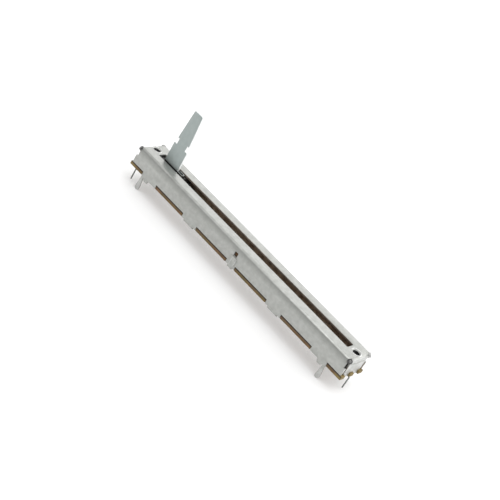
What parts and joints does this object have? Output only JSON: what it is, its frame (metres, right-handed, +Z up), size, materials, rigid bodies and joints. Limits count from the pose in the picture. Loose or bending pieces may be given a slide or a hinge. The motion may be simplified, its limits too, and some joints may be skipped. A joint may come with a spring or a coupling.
{
  "type": "slide potentiometer",
  "caption": "Long slide potentiometer: folded metal case with a slot, a flat blade lever that slides along it, a phenolic board, pins and snap-in lugs below.",
  "frame": {"origin": "centre of the box round the part, on the plane of the four lug tips that it stands on", "axes": "+X along the slot, from the lever's rest end to the far end; +Z up, along the lever; +Y from the front wall to the back wall"},
  "size_m": [0.1294, 0.0156, 0.0421],
  "materials": {
    "plated_steel": "satin zinc-plated sheet steel",
    "lever_steel": "grey passivated steel, satin",
    "phenolic": "brown phenolic paper laminate",
    "carbon_print": "printed carbon film, matt",
    "silver_print": "printed silver ink",
    "rivet_brass": "tinned brass, bright",
    "tinned_brass": "tinned brass, satin",
    "buffer_moulding": "black moulded rubber",
    "carriage_moulding": "black acetal moulding",
    "clip_steel": "bright spring steel strip",
    "spring_bronze": "phosphor bronze spring strip"
  },
  "bodies": {
    "body": {"case": "plated_steel", "circuit_board": "phenolic", "resistive_track": "carbon_print", "collector_track": "silver_print", "land_left": "silver_print", "land_right": "silver_print", "rivet_left_front": "rivet_brass", "rivet_left_back": "rivet_brass", "rivet_right": "rivet_brass", "terminal_left_front": "tinned_brass", "terminal_left_back": "tinned_brass", "terminal_right": "tinned_brass", "end_stop_left": "buffer_moulding", "end_stop_right": "buffer_moulding"},
    "slider": {"carriage": "carriage_moulding", "lever": "lever_steel", "lever_clip": "clip_steel", "wiper": "spring_bronze", "side_spring": "spring_bronze"}
  },
  "joints": [
    {"name": "lever_slide", "type": "slide", "parent": "body", "child": "slider", "axis": [1, 0, 0], "range_m": [0, 0.1]}
  ]
}
